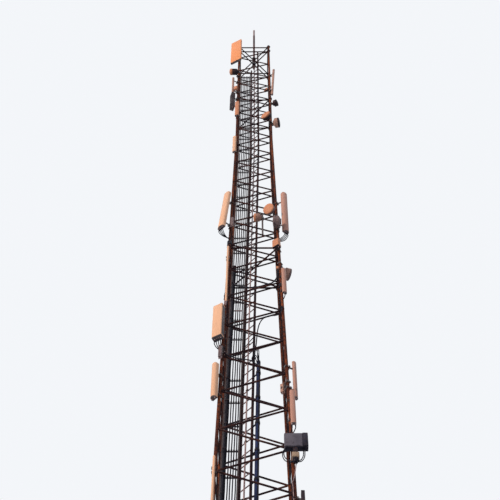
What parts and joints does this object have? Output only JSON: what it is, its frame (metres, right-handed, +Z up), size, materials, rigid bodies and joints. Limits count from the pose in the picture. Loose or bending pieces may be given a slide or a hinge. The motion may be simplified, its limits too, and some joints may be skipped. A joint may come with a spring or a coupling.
{
  "type": "cell tower",
  "caption": "Tall square lattice cell tower with a tapering lower part, climbing ladder, cable runs, lightning mast and panel, drum and radio antennas clamped to its legs.",
  "frame": {"origin": "middle of the base frame's underside, on the mast's centre line at ground level", "axes": "+Z up along the mast, -Y toward the side that the picture was taken from, +X to the right of that view"},
  "size_m": [1.9608, 1.9608, 39.78],
  "materials": {
    "rusty_steel": "red-brown paint with rust, matt",
    "galvanised_steel": "dull galvanised steel",
    "dark_steel": "dark weathered paint, matt",
    "antenna_white": "warm off-white radome, slightly dirty",
    "unit_grey": "grey painted casting, matt",
    "cabinet_grey": "purple-grey painted sheet, matt",
    "cable_black": "black cable sheath",
    "bundle_blue": "blue-black cable wrap"
  },
  "bodies": {
    "root": {"base_frame": "dark_steel", "bottom_panel_left": "antenna_white", "bracing_back": "rusty_steel", "bracing_front": "rusty_steel", "bracing_left": "rusty_steel", "bracing_right": "rusty_steel", "broad_panel_left": "antenna_white", "cabinet_gland": "cable_black", "cabinet_right": "cabinet_grey", "cable_bundle": "bundle_blue", "cable_ladder": "dark_steel", "drum_inner_left": "antenna_white", "drum_inner_right": "antenna_white", "drum_low_right": "antenna_white", "drum_middle_front": "antenna_white", "drum_middle_right": "antenna_white", "drum_side_right": "antenna_white", "drum_top_left": "antenna_white", "drum_upper_right": "antenna_white", "feeder_cables": "cable_black", "flat_panel_top_left": "antenna_white", "junction_box_left": "unit_grey", "junction_box_low_left": "unit_grey", "junction_box_low_right": "unit_grey", "junction_box_top_left": "unit_grey", "junction_box_top_right": "unit_grey", "ladder": "rusty_steel", "leg_back_left": "rusty_steel", "leg_back_right": "rusty_steel", "leg_front_left": "rusty_steel", "leg_front_right": "rusty_steel", "lightning_mast": "dark_steel", "lightning_tip": "antenna_white", "long_panel_left": "antenna_white", "long_panel_right": "antenna_white", "lower_panel_left": "antenna_white", "lower_panel_right": "antenna_white", "omni_antenna_left": "antenna_white", "radio_unit_low_right": "unit_grey", "radio_unit_lower_left": "unit_grey", "radio_unit_right": "unit_grey", "radio_unit_upper_left": "unit_grey", "safety_rail": "galvanised_steel", "side_panel_right": "antenna_white", "slim_panel_left": "antenna_white", "slim_panel_right": "antenna_white", "slim_panel_top_left": "antenna_white", "slim_panel_top_right": "antenna_white", "small_panel_left": "antenna_white", "tie_ring_1": "rusty_steel", "tie_ring_2": "rusty_steel", "tie_ring_3": "rusty_steel", "tie_ring_4": "rusty_steel", "top_frame_lower": "rusty_steel", "top_frame_upper": "rusty_steel"}
  },
  "joints": []
}
